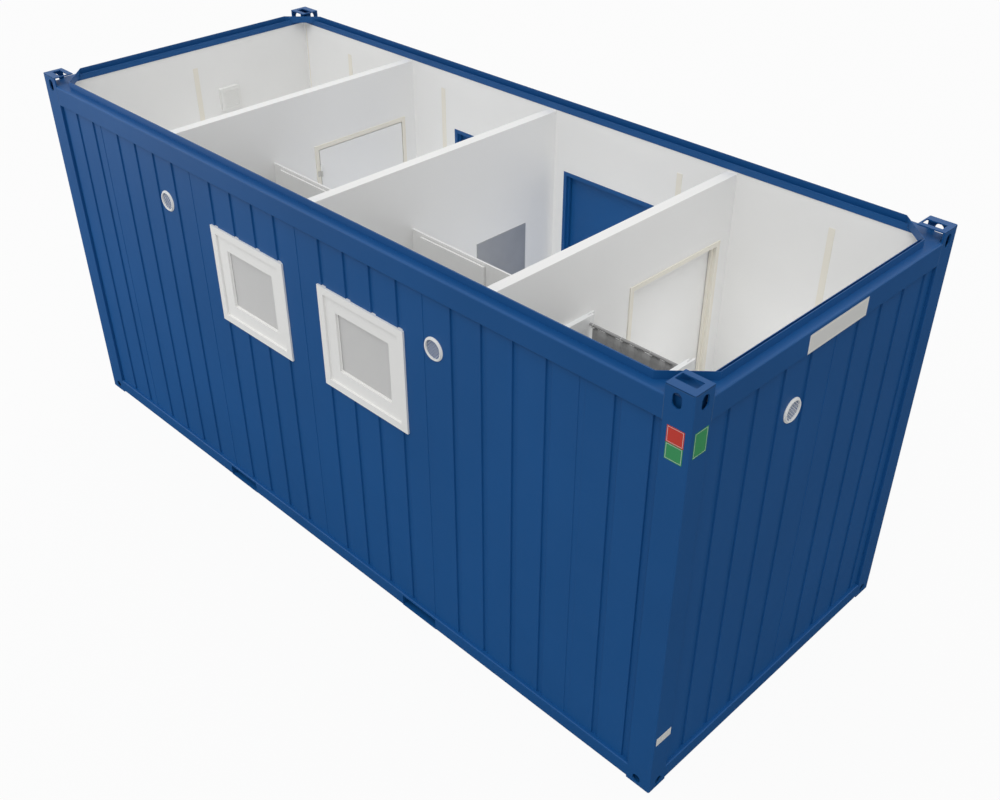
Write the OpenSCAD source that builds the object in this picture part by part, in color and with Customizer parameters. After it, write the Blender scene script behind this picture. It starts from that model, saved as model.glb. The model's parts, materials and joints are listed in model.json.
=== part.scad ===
// Twenty-foot sanitary container with its roof left off, open at the top.
// Origin: bottom centre. X along the length, Y across it, Z up. Millimetres.
// The wall at -Y has the windows, the wall at +Y has the two entrance doors.

/* [Overall] */
// Length over the corner castings
length = 6055; // [5800:5:6500]
// Width over the corner castings
width = 2435; // [2400:5:2600]
// Height from the foot to the top of the upper castings
height = 2800; // [2700:10:3000]

/* [Corner castings and posts] */
// Casting and post size along the length
casting_l = 170; // [160:1:180]
// Casting and post size across the width
casting_w = 150; // [140:1:165]
// Casting height
casting_h = 118; // [112:1:125]
// Wall of a casting
casting_t = 10; // [8:0.5:14]
// Top plate of an upper casting
top_plate_t = 8; // [6:0.5:12]
// Foot plate of a lower casting
foot_plate_t = 12; // [8:0.5:16]
// Length of the twistlock hole
lock_l = 126; // [110:1:130]
// Width of the twistlock hole
lock_w = 63; // [50:1:68]
// Twistlock hole centre from the outer end face
lock_x = 98; // [85:1:100]
// Twistlock hole centre from the outer side face
lock_y = 85; // [75:1:88]
// Width of the rounded slot in a casting wall
slot_w = 56; // [40:1:60]
// Height of the slot in an upper casting
upper_slot_h = 86; // [70:1:86]
// Upper slot centre below the casting top
upper_slot_drop = 71; // [66:1:72]
// Height of the slot in a lower casting
lower_slot_h = 62; // [56:1:66]
// Lower slot centre above the foot
lower_slot_z = 48; // [46:1:60]
// Sheet thickness of the corner posts
post_t = 5; // [3:0.5:8]
// Radius of the outer edge of posts and castings
corner_r = 10; // [4:1:16]
// Bend radius of the folded sheets, outside
bend_r = 4; // [2:0.5:5]

/* [Base frame and floor] */
// Clearance of the base rails above the ground
base_lift = 10; // [6:1:16]
// Base rail height
base_rail_h = 105; // [104:1:107]
// Base rail depth
base_rail_w = 80; // [60:1:90]
// Base rail wall
base_rail_t = 5; // [4:0.5:6]
// Radius of the base rail's outer edges
base_rail_r = 8; // [6:0.5:10]
// Clear width of a fork pocket
fork_w = 328; // [300:1:360]
// Clear height of a fork pocket
fork_h = 82; // [75:1:85]
// Distance between the fork pocket centres
fork_pitch = 2055; // [2000:5:2100]
// Wall of the fork tunnels
fork_t = 4; // [2:0.5:4]
// Width of a floor bearer
bearer_w = 60; // [40:1:80]
// Height of a floor bearer
bearer_h = 88; // [60:1:100]
// Floor top above the ground
floor_top = 160; // [150:1:175]

/* [Roof frame] */
// Roof flange below the casting top
roof_drop = 65; // [55:1:70]
// Outer face height of a roof rail
roof_rail_h = 143; // [120:1:170]
// Roof rail sheet
roof_rail_t = 4; // [3:0.5:6]
// Radius of the roof rail's outer edge
roof_rail_r = 13; // [8:1:18]
// Upstand from the outer face
upstand_in = 57; // [50:1:64]
// Upstand height
upstand_h = 48; // [30:1:60]
// Upstand sheet
upstand_t = 4; // [3:0.5:6]
// Where the corner chamfer starts, from the outer end face
chamfer_l = 282; // [260:1:300]
// Where the corner chamfer starts, from the outer side face
chamfer_w = 268; // [250:1:285]
// Inner lip below the flange
lip_down = 26; // [15:1:40]
// Inner lip above the flange
lip_up = 19; // [10:1:25]

/* [Walls] */
// Outer face of the frame to the inner face of the lining
wall_t = 97.5; // [90:0.5:110]
// Cladding set back from the frame's outer face
clad_in = 22; // [18:1:28]
// Depth of the cladding profile
clad_t = 14; // [12:0.5:18]
// Depth of a cladding groove
groove_d = 11; // [6:0.5:11.5]
// Mouth of a cladding groove
groove_mouth = 46; // [40:1:60]
// Floor of a cladding groove
groove_floor = 42; // [24:1:44]
// Easing of the sheet's folds
fold_ease = 2; // [1:0.25:3]
// Distance between grooves
groove_pitch = 236.5; // [225:0.5:245]
// Width of one cladding sheet
sheet_w = 1160; // [1140:5:1180]
// Lap between cladding sheets
seam_w = 42; // [30:1:50]
// Depth of the lap
seam_d = 3; // [2.5:0.5:6]
// First lap of the long walls, from the middle
seam_x = 33; // [0:1:60]
// Lap of the end walls, from the middle
seam_y = 34; // [0:1:50]
// First groove of the trimmed sheet at the left, from its seam
trimmed_groove = 117; // [90:1:150]

/* [Partitions] */
// Partition thickness
partition_t = 75; // [60:1:90]
// Partition tops below the top of the container
partition_drop = 104; // [90:1:200]
// Left partition centre
partition_left_x = -1556; // [-1620:1:-1500]
// Middle partition centre
partition_middle_x = 0; // [-30:1:30]
// Right partition centre
partition_right_x = 1565; // [1500:1:1620]

/* [Entrance doors] */
// Entrance centre from the middle of the long wall
entrance_x = 584.5; // [540:0.5:640]
// Width over the entrance frame
entrance_w = 908; // [850:1:960]
// Entrance frame below the top of the container
entrance_drop = 532; // [450:1:650]
// Face of the entrance frame
entrance_face = 28; // [20:1:36]
// Entrance frame set back from the outer face
entrance_in = 20; // [18.5:0.5:22]
// Entrance frame proud of the lining
entrance_proud = 2; // [1:0.5:6]
// Thickness of an entrance leaf
entrance_leaf_t = 32; // [30:1:44]

/* [Passage doors] */
// Passage frame from the lining of the rear wall
passage_in = 110; // [80:1:160]
// Width over the passage frame
passage_w = 910; // [850:1:960]
// Passage frame below the top of the container
passage_drop = 529; // [450:1:650]
// Face of the passage frame
passage_face = 33; // [24:1:44]
// Passage frame proud of the partition
passage_proud = 8; // [4:0.5:14]
// Thickness of a passage leaf
passage_leaf_t = 40; // [34:1:46]

/* [Door gaps and stops] */
// Gap round a leaf
leaf_gap = 6; // [5:0.5:8]
// Extra gap at the lock edge
swing_gap = 2; // [1.5:0.5:4]
// Stop bar, how far it stands into the doorway
stop_w = 15; // [10:1:20]
// Stop bar thickness
stop_t = 18; // [12:1:20]

/* [Hinges and handles] */
// Hinge barrel diameter
barrel_d = 16; // [14:0.5:17]
// Hinge pin diameter
pin_d = 8; // [6:0.5:10]
// Running clearance round a hinge pin
pin_gap = 0.3; // [0.2:0.05:0.4]
// Pin end below the top of a hinge
pin_end = 3; // [2:0.5:6]
// Hinges from the top and bottom of a door
hinge_in = 200; // [150:5:260]
// Length of one half of a hinge
barrel_h = 45; // [35:1:60]
// Hinge barrel clear of the door face
barrel_off = 2; // [1.5:0.5:3]
// Hinge flag thickness
flag_t = 4; // [3:0.5:5]
// Hinge flag length from the pin
flag_l = 30; // [24:1:30]
// Handle height above the floor
handle_z = 1050; // [950:5:1100]
// Handle centre from the lock edge of the leaf
handle_in = 62; // [60:1:80]
// Handle plate width
handle_plate_w = 42; // [34:1:50]
// Handle plate height
handle_plate_h = 210; // [160:1:240]
// Handle plate thickness
handle_plate_t = 5; // [4:0.5:8]
// Lever diameter
lever_d = 18; // [14:0.5:20]
// Lever length
lever_l = 120; // [100:1:140]
// Lever centre from the plate
lever_out = 42; // [32:1:52]
// Outside paddle depth
paddle_t = 12; // [8:0.5:13]

/* [Toilet cubicles] */
// Cubicle front from the middle of the width, inner face
cubicle_y = -278.5; // [-320:0.5:-240]
// Cubicle board thickness
cubicle_t = 13; // [10:0.5:16]
// Cubicle front below the top of the container
cubicle_drop = 546; // [450:1:700]
// Gap under the cubicle front
cubicle_gap = 150; // [100:5:200]
// Cubicle door edge from the partition
cubicle_door_in = 98; // [80:1:130]
// Cubicle door width
cubicle_door_w = 600; // [550:5:650]
// Cubicle door overlap on the fixed boards
cubicle_lap = 20; // [12:1:30]
// Gap between door and fixed boards
cubicle_door_gap = 6.5; // [5:0.5:8]
// Door top below the top of the front
cubicle_door_drop = 20; // [10:1:40]
// Head rail height over the cubicle door
cubicle_head_h = 64; // [50:1:90]
// Cubicle hinge barrel diameter
cubicle_barrel_d = 12; // [11:0.5:13]
// Cubicle hinge pin diameter
cubicle_pin_d = 6; // [5:0.5:7]
// Latch knob diameter
knob_d = 36; // [28:1:44]
// Latch knob depth
knob_t = 22; // [14:1:30]

/* [Shower] */
// Shower wall thickness
shower_t = 33; // [26:1:40]
// Clear width of the shower
shower_w = 687; // [640:1:760]
// Front edge of the shower walls
shower_y = -238; // [-280:1:-200]
// Inner skin set back from the front edge
shower_step = 29; // [15:1:40]
// Outer skin thickness
shower_skin = 13; // [8:0.5:16]
// Notch between the skins
shower_notch = 5; // [3:0.5:8]
// Shower walls below the top of the container
shower_drop = 546; // [450:1:700]
// Curtain rail diameter
curtain_rail_d = 18; // [14:0.5:25]
// Curtain rail behind the front edge
curtain_rail_in = 59; // [45:1:80]
// Curtain rail below the top of the walls
curtain_rail_drop = 54; // [30:1:90]
// Depth of the curtain's folds
curtain_t = 46; // [20:1:60]
// Bottom of the curtain above the floor
curtain_gap = 170; // [60:5:300]
// Curtain clear of the shower walls
curtain_side = 14; // [8:1:40]
// Curtain clear of its rail
curtain_clear = 0.3; // [0.2:0.05:0.5]

/* [Windows and vents] */
// Window width over the casing
window_w = 800; // [700:5:860]
// Window height over the casing
window_h = 727; // [650:1:780]
// Window centre below the top of the container
window_drop = 901; // [850:1:950]
// Left window centre
window_left_x = -556; // [-620:1:-520]
// Right window centre
window_right_x = 604; // [560:1:640]
// Casing face width
casing_w = 52; // [40:1:64]
// Casing front behind the frame's outer face
casing_in = 8.5; // [4:0.5:12]
// Casing lap over the wall opening
casing_lap = 3; // [2:0.5:6]
// Sash face width
sash_w = 98; // [70:1:110]
// Sash depth
sash_d = 70; // [60:1:74]
// Pane behind the sash face
pane_in = 18; // [10:1:24]
// Pane thickness
pane_t = 24; // [16:1:28]
// Vent cover diameter
vent_d = 150; // [130:1:165]
// Vent ring width
vent_ring = 15; // [10:1:20]
// Vent cover depth
vent_t = 12; // [8:0.5:16]
// Vent centre below the top of the container
vent_drop = 545; // [500:1:600]
// Left vent of the long wall
vent_left_x = -1494; // [-1520:1:-1470]
// Right vent of the long wall
vent_right_x = 1257; // [1230:1:1300]
// Vent of an end wall, from the middle
vent_y = -285; // [-320:1:-260]
// Thickness of the vent's outer rim
vent_rim_t = 4; // [3:0.5:5]

/* [Fittings] */
// Mirror width
mirror_w = 497; // [400:1:600]
// Mirror height
mirror_h = 600; // [400:5:700]
// Mirror below the top of the container
mirror_drop = 874; // [750:1:1000]
// Mirror centre across the width
mirror_y = 563; // [500:1:620]
// Mirror thickness
mirror_t = 5; // [4:0.5:8]
// Fan housing size
fan_w = 190; // [160:1:220]
// Fan housing depth
fan_t = 32; // [20:1:80]
// Fan housing edge radius
fan_r = 14; // [6:1:24]
// Width of a lining joint strip
strip_w = 44; // [30:1:60]
// Thickness of a lining joint strip
strip_t = 3; // [2:0.5:5]
// Joint strips below the top of the container
strip_drop = 235; // [150:1:400]

/* [Hidden] */
$fn = 48;

half_l = length / 2;
half_w = width / 2;
in_x = half_l - wall_t;
in_y = half_w - wall_t;
core_in = clad_in + clad_t;
rail_top = base_lift + base_rail_h;
flange_z = height - roof_drop;
rail_low = flange_z - roof_rail_h;
wall_top = flange_z - roof_rail_t;
inner_in = upstand_in + upstand_t;
post_x = half_l - casting_l;
post_y = half_w - casting_w;
slight = 1;
partition_top = height - partition_drop;
entrance_top = height - entrance_drop;
passage_top = height - passage_drop;
cubicle_top = height - cubicle_drop;
shower_top = height - shower_drop;
window_z = height - window_drop;
vent_z = height - vent_drop;
mirror_top = height - mirror_drop;
strip_top = height - strip_drop;
pin_off = barrel_d / 2 + barrel_off;

blue = [0.11, 0.29, 0.48];
white = [0.86, 0.86, 0.85];
cream = [0.77, 0.75, 0.70];
steel = [0.62, 0.63, 0.64];

function face(x, side) = x + side * partition_t / 2;

// Copies in all four corners, drawn inwards from the outer corner
module at_corners() {
    for (mx = [0, 1])
        for (my = [0, 1])
            mirror([mx, 0, 0])
                mirror([0, my, 0])
                    translate([-half_l, -half_w, 0])
                        children();
}

module both_sides() {
    children();
    mirror([0, 1, 0])
        children();
}

module both_ends() {
    children();
    rotate(180)
        children();
}

module box(low, high) {
    translate(low)
        cube(high - low);
}

// Corner plan with one rounded outer corner at the origin
module corner_plan(l, w, r) {
    translate([r, 0])
        square([l - r, w]);
    translate([0, r])
        square([l, w - r]);
    translate([r, r])
        circle(r);
}

// Square with rounded corners, from the origin
module round_square(size, r) {
    translate([r, 0])
        square([size[0] - 2 * r, size[1]]);
    translate([0, r])
        square([size[0], size[1] - 2 * r]);
    for (x = [r, size[0] - r])
        for (y = [r, size[1] - r])
            translate([x, y])
                circle(r);
}

// What a bend takes off a sharp corner at the origin, with the sheet towards -X and +Y
module bend_cut(r) {
    difference() {
        translate([-r, -slight])
            square(r + slight);
        translate([-r, r])
            circle(r);
    }
}

module corner_angle(l, w, t) {
    difference() {
        corner_plan(l, w, corner_r);
        translate([t, t])
            square([l, w]);
    }
}

// Upright rounded slot, cut along Y through a wall at y = 0
module wall_slot(w, h) {
    rotate([90, 0, 0])
        linear_extrude(4 * casting_t, center = true) {
            square([w, h - w], center = true);
            for (s = [-1, 1])
                translate([0, s * (h - w) / 2])
                    circle(w / 2);
        }
}

module casting_cuts(slot_z, slot_h) {
    translate([lock_x, 0, slot_z])
        wall_slot(slot_w, slot_h);
    translate([0, lock_y, slot_z])
        rotate(90)
            wall_slot(slot_w, slot_h);
}

module lock_hole() {
    translate([lock_x - lock_l / 2, lock_y - lock_w / 2])
        square([lock_l, lock_w]);
}

module lower_castings() {
    color(blue)
        at_corners()
            difference() {
                union() {
                    linear_extrude(casting_h)
                        corner_angle(casting_l, casting_w, casting_t);
                    linear_extrude(foot_plate_t)
                        difference() {
                            corner_plan(casting_l, casting_w, corner_r);
                            lock_hole();
                        }
                    translate([0, 0, casting_h - top_plate_t])
                        linear_extrude(top_plate_t)
                            corner_plan(casting_l, casting_w, corner_r);
                }
                casting_cuts(lower_slot_z, lower_slot_h);
            }
}

module upper_castings() {
    color(blue)
        at_corners()
            difference() {
                translate([0, 0, height - casting_h])
                    linear_extrude(casting_h - top_plate_t)
                        corner_angle(casting_l, casting_w, casting_t);
                casting_cuts(height - upper_slot_drop, upper_slot_h);
            }
}

// Plates welded on top of the upper castings
module casting_tops() {
    color(blue)
        at_corners()
            translate([0, 0, height - top_plate_t])
                linear_extrude(top_plate_t)
                    difference() {
                        corner_plan(casting_l, casting_w, corner_r);
                        lock_hole();
                    }
}

// Plan of a post: an angle with both edges folded in to the cladding
module post_plan() {
    difference() {
        union() {
            corner_angle(casting_l, casting_w, post_t);
            translate([casting_l - post_t, 0])
                square([post_t, core_in]);
            translate([0, casting_w - post_t])
                square([core_in, post_t]);
        }
        translate([casting_l, 0])
            bend_cut(bend_r);
        translate([0, casting_w])
            mirror([1, -1])
                bend_cut(bend_r);
    }
}

module corner_posts() {
    color(blue)
        at_corners()
            translate([0, 0, casting_h])
                linear_extrude(height - 2 * casting_h)
                    post_plan();
}

// Hollow base rail, drawn along X, its outer face at y = 0
module base_rail(run) {
    inside = [base_rail_w - 2 * base_rail_t, base_rail_h - 2 * base_rail_t];
    rotate([90, 0, 90])
        linear_extrude(run, center = true)
            difference() {
                round_square([base_rail_w, base_rail_h], base_rail_r);
                translate([base_rail_t, base_rail_t])
                    round_square(inside, base_rail_r - base_rail_t);
            }
}

// Fork tunnels: faces from the middle of the length, floor and ceiling heights
fork_near = fork_pitch / 2 - fork_w / 2 - fork_t;
fork_far = fork_pitch / 2 + fork_w / 2 + fork_t;
fork_low = base_lift + base_rail_t;
fork_high = fork_low + fork_h;

module base_long_rails() {
    color(blue)
        both_sides()
            for (span = [[-post_x, -fork_far], [-fork_near, fork_near], [fork_far, post_x]])
                translate([(span[0] + span[1]) / 2, -half_w, base_lift])
                    base_rail(span[1] - span[0]);
}

module base_end_rails() {
    color(blue)
        both_ends()
            translate([half_l, 0, base_lift])
                rotate(90)
                    base_rail(2 * post_y);
}

module at_forks() {
    for (m = [0, 1])
        mirror([m, 0, 0])
            translate([fork_near, 0, 0])
                children();
}

// Floor and ceiling of each fork tunnel, with the rail's upper part carried over its mouths
module fork_plates() {
    w = fork_far - fork_near;
    color(blue)
        at_forks() {
            box([0, -half_w, fork_low - fork_t], [w, half_w, fork_low]);
            box([0, -half_w, fork_high], [w, half_w, fork_high + fork_t]);
            both_sides()
                translate([0, -half_w, base_lift])
                    rotate([90, 0, 90])
                        linear_extrude(w)
                            fork_header();
        }
}

// What is left of the rail's section over a fork pocket
module fork_header() {
    intersection() {
        round_square([base_rail_w, base_rail_h], base_rail_r);
        translate([0, fork_high - base_lift])
            square([base_rail_w, base_rail_h]);
    }
}

module fork_sides() {
    color(blue)
        at_forks()
            for (x = [0, fork_t + fork_w])
                box([x, -half_w, fork_low], [x + fork_t, half_w, fork_high]);
}

module floor_bearers() {
    reach = half_l - base_rail_w - fork_far;
    places = [fork_near / 3, fork_far + reach / 4, fork_far + reach / 2, fork_far + 3 * reach / 4];
    y = half_w - base_rail_w;
    color(blue)
        for (s = [-1, 1])
            for (x = places)
                translate([s * x - bearer_w / 2, -y, casting_h - bearer_h])
                    cube([bearer_w, 2 * y, bearer_h]);
}

module floor_deck() {
    x = half_l - base_rail_w;
    y = half_w - base_rail_w;
    color(steel)
        box([-x, -y, casting_h], [x, y, floor_top]);
}

// Section of a roof rail: x inwards from the outer face, y up from the flange top
module roof_rail_section() {
    t = roof_rail_t;
    r = roof_rail_r;
    difference() {
        union() {
            translate([0, -roof_rail_h])
                square([t, roof_rail_h - r]);
            translate([0, -roof_rail_h])
                square([clad_in, t]);
        }
        translate([0, -roof_rail_h])
            mirror([1, 0])
                bend_cut(bend_r);
    }
    translate([r, -t])
        square([inner_in - r, t]);
    translate([r, -r])
        intersection() {
            difference() {
                circle(r);
                circle(r - t);
            }
            translate([-r, 0])
                square(r);
        }
}

// Inner part of a roof rail, between the corner chamfers
module roof_lip_section() {
    lip = wall_t + roof_rail_t;
    translate([inner_in - slight, -roof_rail_t])
        square([lip - inner_in + slight, roof_rail_t]);
    translate([wall_t, -lip_down])
        square([roof_rail_t, lip_down + lip_up]);
}

// Roof rail drawn along X with its outer face at y = 0 and its flange top at z = 0
module roof_rail(run, inner_run) {
    rotate([90, 0, 90]) {
        linear_extrude(run, center = true)
            roof_rail_section();
        linear_extrude(inner_run, center = true)
            roof_lip_section();
    }
}

module roof_long_rails() {
    color(blue)
        both_sides()
            translate([0, -half_w, flange_z])
                roof_rail(2 * post_x, 2 * (half_l - chamfer_l));
}

module roof_end_rails() {
    color(blue)
        both_ends()
            translate([half_l, 0, flange_z])
                rotate(90)
                    roof_rail(2 * post_y, 2 * (half_w - chamfer_w));
}

module roof_upstands() {
    x = half_l - chamfer_l;
    y = half_w - chamfer_w;
    top = flange_z + upstand_h;
    color(blue) {
        both_sides()
            box([-x, -half_w + upstand_in, flange_z], [x, -half_w + inner_in, top]);
        both_ends()
            box([half_l - inner_in, -y, flange_z], [half_l - upstand_in, y, top]);
    }
}

// Flat gusset that runs on into each upper casting, with the slanted upstand on it
module roof_corners() {
    gusset = [[chamfer_l, inner_in], [casting_l, inner_in], [casting_l, casting_t],
        [casting_t, casting_w], [inner_in, casting_w], [inner_in, chamfer_w]];
    strip = [[chamfer_l, upstand_in], [chamfer_l, inner_in], [inner_in, chamfer_w],
        [upstand_in, chamfer_w]];
    color(blue)
        at_corners() {
            translate([0, 0, wall_top])
                linear_extrude(roof_rail_t)
                    polygon(gusset);
            translate([0, 0, flange_z])
                linear_extrude(upstand_h)
                    polygon(strip);
        }
}

// One groove or lap of the cladding, cut from the outer face, with eased folds
module groove(s, mouth, bottom, depth) {
    half = mouth / 2;
    polygon([[s - half - fold_ease, -slight], [s + half + fold_ease, -slight], [s + half + fold_ease, 0],
        [s + half, fold_ease], [s + bottom / 2, depth], [s - bottom / 2, depth], [s - half, fold_ease],
        [s - half - fold_ease, 0]]);
}

module groove_row(first, count, step) {
    for (i = [0:count - 1])
        groove(first + i * step, groove_mouth, groove_floor, groove_d);
}

module sheet_grooves(seam) {
    edge = (sheet_w - 3 * groove_pitch) / 2;
    groove(seam, seam_w, seam_w, seam_d);
    groove_row(seam + edge, 4, groove_pitch);
}

// Plan of a long wall's cladding, outer face at y = 0
module long_sheet(from, to) {
    intersection() {
        difference() {
            translate([-post_x, 0])
                square([2 * post_x, clad_t]);
            for (k = [-2:2])
                sheet_grooves(seam_x + k * sheet_w);
            groove_row(seam_x - 2 * sheet_w - trimmed_groove - groove_pitch, 2, groove_pitch);
        }
        translate([from, 0])
            square([to - from, clad_t]);
    }
}

// Plan of an end wall's cladding, drawn along X
module end_sheet() {
    difference() {
        translate([-post_y, 0])
            square([2 * post_y, clad_t]);
        sheet_grooves(seam_y);
        groove_row(seam_y - (sheet_w - 3 * groove_pitch) / 2, 4, -groove_pitch);
    }
}

module window_places() {
    for (x = [window_left_x, window_right_x])
        translate([x, -half_w, window_z])
            rotate([90, 0, 0])
                mirror([0, 0, 1])
                    children();
}

// Opening for a window, in the outline of its sash
module window_holes() {
    window_places()
        translate([0, 0, casing_in])
            linear_extrude(wall_t)
                square(sash_size(), center = true);
}

function sash_size() = [window_w - 2 * casing_w + 2 * casing_lap, window_h - 2 * casing_w + 2 * casing_lap];

module front_cladding() {
    color(blue)
        difference() {
            translate([0, -half_w + clad_in, rail_top])
                linear_extrude(rail_low - rail_top)
                    long_sheet(-post_x, post_x);
            window_holes();
        }
}

module front_lining() {
    color(white)
        difference() {
            box([-half_l + core_in, -half_w + core_in, floor_top], [half_l - core_in, -in_y, wall_top]);
            window_holes();
        }
}

door_edge_in = entrance_x - entrance_w / 2;
door_edge_out = entrance_x + entrance_w / 2;

module rear_sheet(from, to, low) {
    translate([0, half_w - clad_in, low])
        linear_extrude(rail_low - low)
            mirror([0, 1])
                long_sheet(from, to);
}

module rear_cladding() {
    color(blue) {
        rear_sheet(-post_x, -door_edge_out, rail_top);
        rear_sheet(-door_edge_in, door_edge_in, rail_top);
        rear_sheet(door_edge_out, post_x, rail_top);
    }
}

module rear_cladding_headers() {
    color(blue)
        for (s = [-1, 1])
            rear_sheet(s * entrance_x - entrance_w / 2, s * entrance_x + entrance_w / 2, entrance_top);
}

module rear_slab(from, to, low) {
    box([from, in_y, low], [to, half_w - core_in, wall_top]);
}

module rear_lining() {
    color(white) {
        rear_slab(-half_l + core_in, -door_edge_out, floor_top);
        rear_slab(-door_edge_in, door_edge_in, floor_top);
        rear_slab(door_edge_out, half_l - core_in, floor_top);
    }
}

module rear_lining_headers() {
    color(white)
        for (s = [-1, 1])
            rear_slab(s * entrance_x - entrance_w / 2, s * entrance_x + entrance_w / 2, entrance_top);
}

module end_claddings() {
    color(blue)
        both_ends()
            translate([half_l - clad_in, 0, rail_top])
                linear_extrude(rail_low - rail_top)
                    rotate(90)
                        end_sheet();
}

module end_linings() {
    color(white)
        both_ends()
            box([in_x, -in_y, floor_top], [half_l - core_in, in_y, wall_top]);
}

passage_high = in_y - passage_in;
passage_low = passage_high - passage_w;

module partition(x, from, to, low) {
    box([face(x, -1), from, low], [face(x, 1), to, partition_top]);
}

module partition_panels() {
    color(white) {
        for (x = [partition_left_x, partition_right_x]) {
            partition(x, -in_y, passage_low, floor_top);
            partition(x, passage_high, in_y, floor_top);
        }
        partition(partition_middle_x, -in_y, in_y, floor_top);
    }
}

module partition_headers() {
    color(white)
        for (x = [partition_left_x, partition_right_x])
            partition(x, passage_low, passage_high, passage_top);
}

// Entrance door, drawn for the left door with x = 0 at its centre
entrance_leaf_y = half_w - entrance_in - entrance_leaf_t;
entrance_stop_y = entrance_leaf_y - leaf_gap;
entrance_clear = entrance_w / 2 - entrance_face;
entrance_pin = [-entrance_clear + leaf_gap / 2, half_w - entrance_in + pin_off];

module at_entrances() {
    for (m = [0, 1])
        mirror([m, 0, 0])
            translate([-entrance_x, 0, 0])
                children();
}

module entrance_jamb() {
    y = in_y - entrance_proud;
    box([-entrance_w / 2, y, floor_top], [-entrance_clear, half_w - entrance_in, entrance_top]);
    box([-entrance_clear, entrance_stop_y - stop_t, floor_top],
        [-entrance_clear + stop_w, entrance_stop_y, entrance_top - entrance_face]);
}

module entrance_jambs() {
    color(blue)
        at_entrances()
            for (m = [0, 1])
                mirror([m, 0, 0])
                    entrance_jamb();
}

module entrance_rails() {
    y = in_y - entrance_proud;
    w = entrance_clear;
    color(blue)
        at_entrances() {
            box([-w, y, entrance_top - entrance_face], [w, half_w - entrance_in, entrance_top]);
            box([-w + stop_w, entrance_stop_y - stop_t, entrance_top - entrance_face - stop_w],
                [w - stop_w, entrance_stop_y, entrance_top - entrance_face]);
            box([-entrance_w / 2, half_w - base_rail_w, rail_top],
                [entrance_w / 2, half_w - clad_in, floor_top]);
        }
}

// Flag and web that carry a hinge barrel on a face below it, side 1 towards +X
module hinge_flag(side) {
    translate([min(0, side * flag_l), -pin_off, 0])
        cube([flag_l, flag_t, barrel_h]);
    translate([min(0, side * barrel_d / 2), -pin_off, 0])
        cube([barrel_d / 2, pin_off, barrel_h]);
}

// Hinge half fixed to the frame: barrel with its pin, flag away from the leaf
module fixed_hinge() {
    translate([0, 0, -barrel_h]) {
        cylinder(d = barrel_d, h = barrel_h);
        cylinder(d = pin_d, h = 2 * barrel_h - pin_end);
        hinge_flag(-1);
    }
}

// Hinge half on the leaf, bored for the pin, standing above the fixed half
module leaf_hinge() {
    translate([0, 0, pin_gap])
        difference() {
            union() {
                cylinder(d = barrel_d, h = barrel_h);
                hinge_flag(1);
            }
            translate([0, 0, -slight])
                cylinder(d = pin_d + 2 * pin_gap, h = barrel_h);
        }
}

function hinge_heights(low, high) = [low + hinge_in, (low + high) / 2, high - hinge_in];

module at_entrance_hinges() {
    for (z = hinge_heights(floor_top, entrance_top))
        translate([entrance_pin[0], entrance_pin[1], z])
            children();
}

entrance_leaf_low = floor_top + leaf_gap;
entrance_leaf_high = entrance_top - entrance_face - leaf_gap;

module entrance_leaf() {
    translate([-entrance_x, 0, 0]) {
        box([-entrance_clear + leaf_gap, entrance_leaf_y, entrance_leaf_low],
            [entrance_clear - leaf_gap - swing_gap, half_w - entrance_in, entrance_leaf_high]);
        at_entrance_hinges()
            leaf_hinge();
    }
}

module entrance_leaf_left() {
    color(blue)
        entrance_leaf();
}

module entrance_leaf_right() {
    color(blue)
        mirror([1, 0, 0])
            entrance_leaf();
}

// Plate and lever on a door face at y = 0, standing out along -Y, lever along -X
module lever_handle() {
    rotate([90, 0, 0]) {
        translate([-handle_plate_w / 2, -handle_plate_h / 2, 0])
            cube([handle_plate_w, handle_plate_h, handle_plate_t]);
        cylinder(d = lever_d, h = lever_out);
        translate([0, 0, lever_out]) {
            sphere(d = lever_d);
            rotate([0, -90, 0])
                cylinder(d = lever_d, h = lever_l - lever_d / 2);
        }
    }
}

// Flat paddle on a plate for the outside, kept inside the frame's outer face
module paddle_handle() {
    rotate([-90, 0, 0]) {
        translate([-handle_plate_w / 2, -handle_plate_h / 2, 0])
            cube([handle_plate_w, handle_plate_h, handle_plate_t]);
        translate([-lever_l + handle_plate_w / 2, -lever_d, handle_plate_t])
            cube([lever_l, 2 * lever_d, paddle_t]);
    }
}

module entrance_handle() {
    x = -entrance_x + entrance_clear - leaf_gap - swing_gap - handle_in;
    z = floor_top + handle_z;
    translate([x, entrance_leaf_y, z])
        lever_handle();
    translate([x, half_w - entrance_in, z])
        paddle_handle();
}

module entrance_handle_left() {
    color(steel)
        entrance_handle();
}

module entrance_handle_right() {
    color(steel)
        mirror([1, 0, 0])
            entrance_handle();
}

// Passage door, drawn for the left partition with x = 0 at the partition's centre
frame_half = partition_t / 2 + passage_proud;
passage_clear_low = passage_low + passage_face;
passage_clear_high = passage_high - passage_face;
passage_leaf_x = frame_half - passage_leaf_t;
passage_leaf_high = passage_top - passage_face - leaf_gap;

module at_left_passage() {
    translate([partition_left_x, 0, 0])
        children();
}

module at_right_passage() {
    translate([partition_right_x, 0, 0])
        mirror([1, 0, 0])
            children();
}

module passage_jambs_pair() {
    stop_x = passage_leaf_x - leaf_gap;
    for (m = [0, 1])
        translate([0, (passage_low + passage_high) / 2, 0])
            mirror([0, m, 0])
                translate([0, -passage_w / 2, 0]) {
                    box([-frame_half, 0, floor_top], [frame_half, passage_face, passage_top]);
                    box([stop_x - stop_t, passage_face, floor_top],
                        [stop_x, passage_face + stop_w, passage_top - passage_face]);
                }
}

module passage_jambs() {
    color(cream) {
        at_left_passage()
            passage_jambs_pair();
        at_right_passage()
            passage_jambs_pair();
    }
}

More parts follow.
